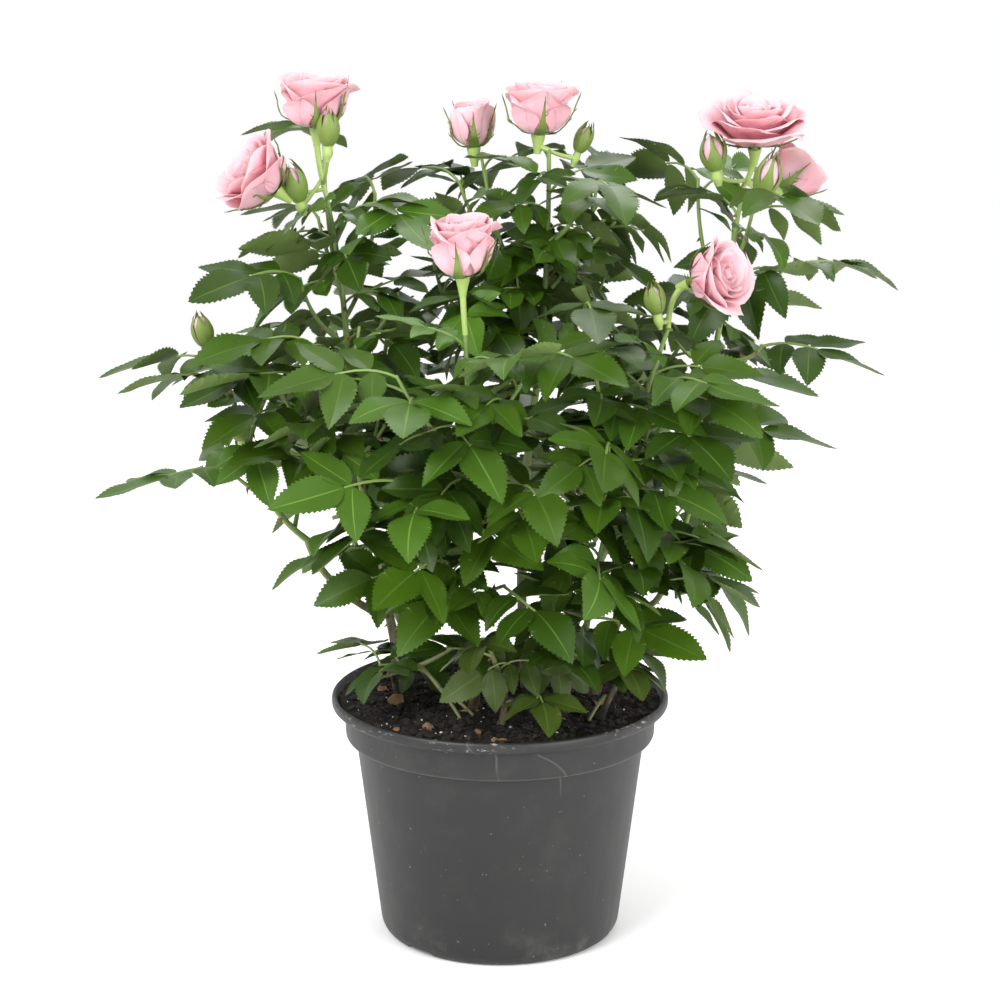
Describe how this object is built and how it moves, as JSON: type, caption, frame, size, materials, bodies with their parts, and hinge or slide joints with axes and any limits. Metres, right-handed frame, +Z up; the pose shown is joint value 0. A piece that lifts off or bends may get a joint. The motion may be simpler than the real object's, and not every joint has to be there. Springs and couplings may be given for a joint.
{
  "type": "potted patio rose bush",
  "caption": "Small patio rose bush in bloom in a round plastic nursery pot, with slender canes, masses of leaves and pink flower trusses.",
  "frame": {"origin": "centre of the pot's flat underside", "axes": "+Z up, +X to the right and -Y towards the viewer in the plant's front view"},
  "size_m": [0.3703, 0.3242, 0.3833],
  "materials": {
    "pot_plastic": "dark grey moulded plastic, softly scuffed",
    "soil": "damp dark peat with crumbs and white grains",
    "cane": "grey brown bark low down, turning green upwards",
    "leaf": "glossy dark green above, paler below",
    "petal": "soft pink petals on green stalks"
  },
  "bodies": {
    "root": {"arm_left": "cane", "cane_back": "cane", "cane_back_right": "cane", "cane_front": "cane", "cane_left": "cane", "cane_left_mid": "cane", "cane_middle": "cane", "cane_right": "cane", "cane_right_front": "cane", "foliage_back": "leaf", "foliage_back_left": "leaf", "foliage_back_right": "leaf", "foliage_front": "leaf", "foliage_left": "leaf", "foliage_left_low": "leaf", "foliage_left_top": "leaf", "foliage_low_front": "leaf", "foliage_low_left": "leaf", "foliage_low_right": "leaf", "foliage_middle_top": "leaf", "foliage_right_front": "leaf", "foliage_right_low": "leaf", "foliage_right_top": "leaf", "pot": "pot_plastic", "side_left": "cane", "side_right": "cane", "soil": "soil", "sprout_front": "cane", "sprout_left": "cane", "sprout_right": "cane", "truss_front": "petal", "truss_left": "petal", "truss_middle": "petal", "truss_middle_left": "petal", "truss_right": "petal", "truss_right_front": "petal"}
  },
  "joints": []
}
